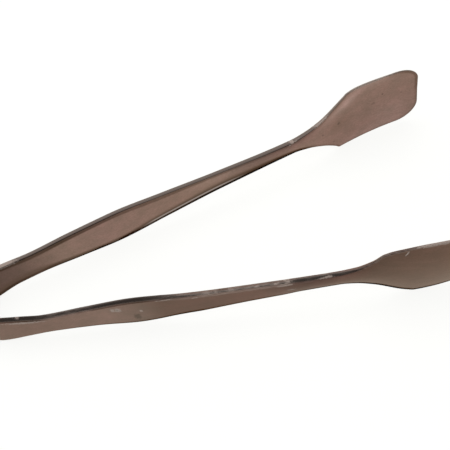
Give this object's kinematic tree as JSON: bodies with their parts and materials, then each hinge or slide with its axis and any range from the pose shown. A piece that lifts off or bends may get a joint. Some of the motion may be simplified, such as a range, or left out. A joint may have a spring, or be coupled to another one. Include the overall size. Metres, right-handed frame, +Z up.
{
  "type": "candy tongs",
  "caption": "One-piece spring tongs for serving sweets: a bent metal strip with waisted grips, slim necks and shallow spade-shaped paddles.",
  "frame": {"origin": "centre of the footprint on the table that the tongs lie on, on their long edges", "axes": "+X from the bow towards the paddles, +Y towards the left arm, +Z up from the table"},
  "size_m": [0.153, 0.061, 0.0306],
  "materials": {
    "satin_metal": "satin stainless steel with a thin warm bronze-brown coating, finely brushed along its length"
  },
  "bodies": {
    "bow": {"spring_bow": "satin_metal"},
    "left_arm": {"left_bow_leg": "satin_metal", "left_grip": "satin_metal", "left_neck": "satin_metal", "left_paddle": "satin_metal"},
    "right_arm": {"right_bow_leg": "satin_metal", "right_grip": "satin_metal", "right_neck": "satin_metal", "right_paddle": "satin_metal"}
  },
  "joints": [
    {"name": "left_arm_flex", "type": "hinge", "parent": "bow", "child": "left_arm", "pos_m": [-0.07319, 0.0053, 0.00825], "axis": [0.0537, 0, -0.9986], "range_deg": [-2, 10.9], "stiffness_Nm_per_rad": 5},
    {"name": "right_arm_flex", "type": "hinge", "parent": "bow", "child": "right_arm", "pos_m": [-0.07319, -0.0053, 0.00825], "axis": [-0.0537, 0, 0.9986], "range_deg": [-2, 10.9], "stiffness_Nm_per_rad": 5}
  ],
  "couplings": [
    {"joint": "right_arm_flex", "follows": "left_arm_flex", "ratio": 1}
  ]
}
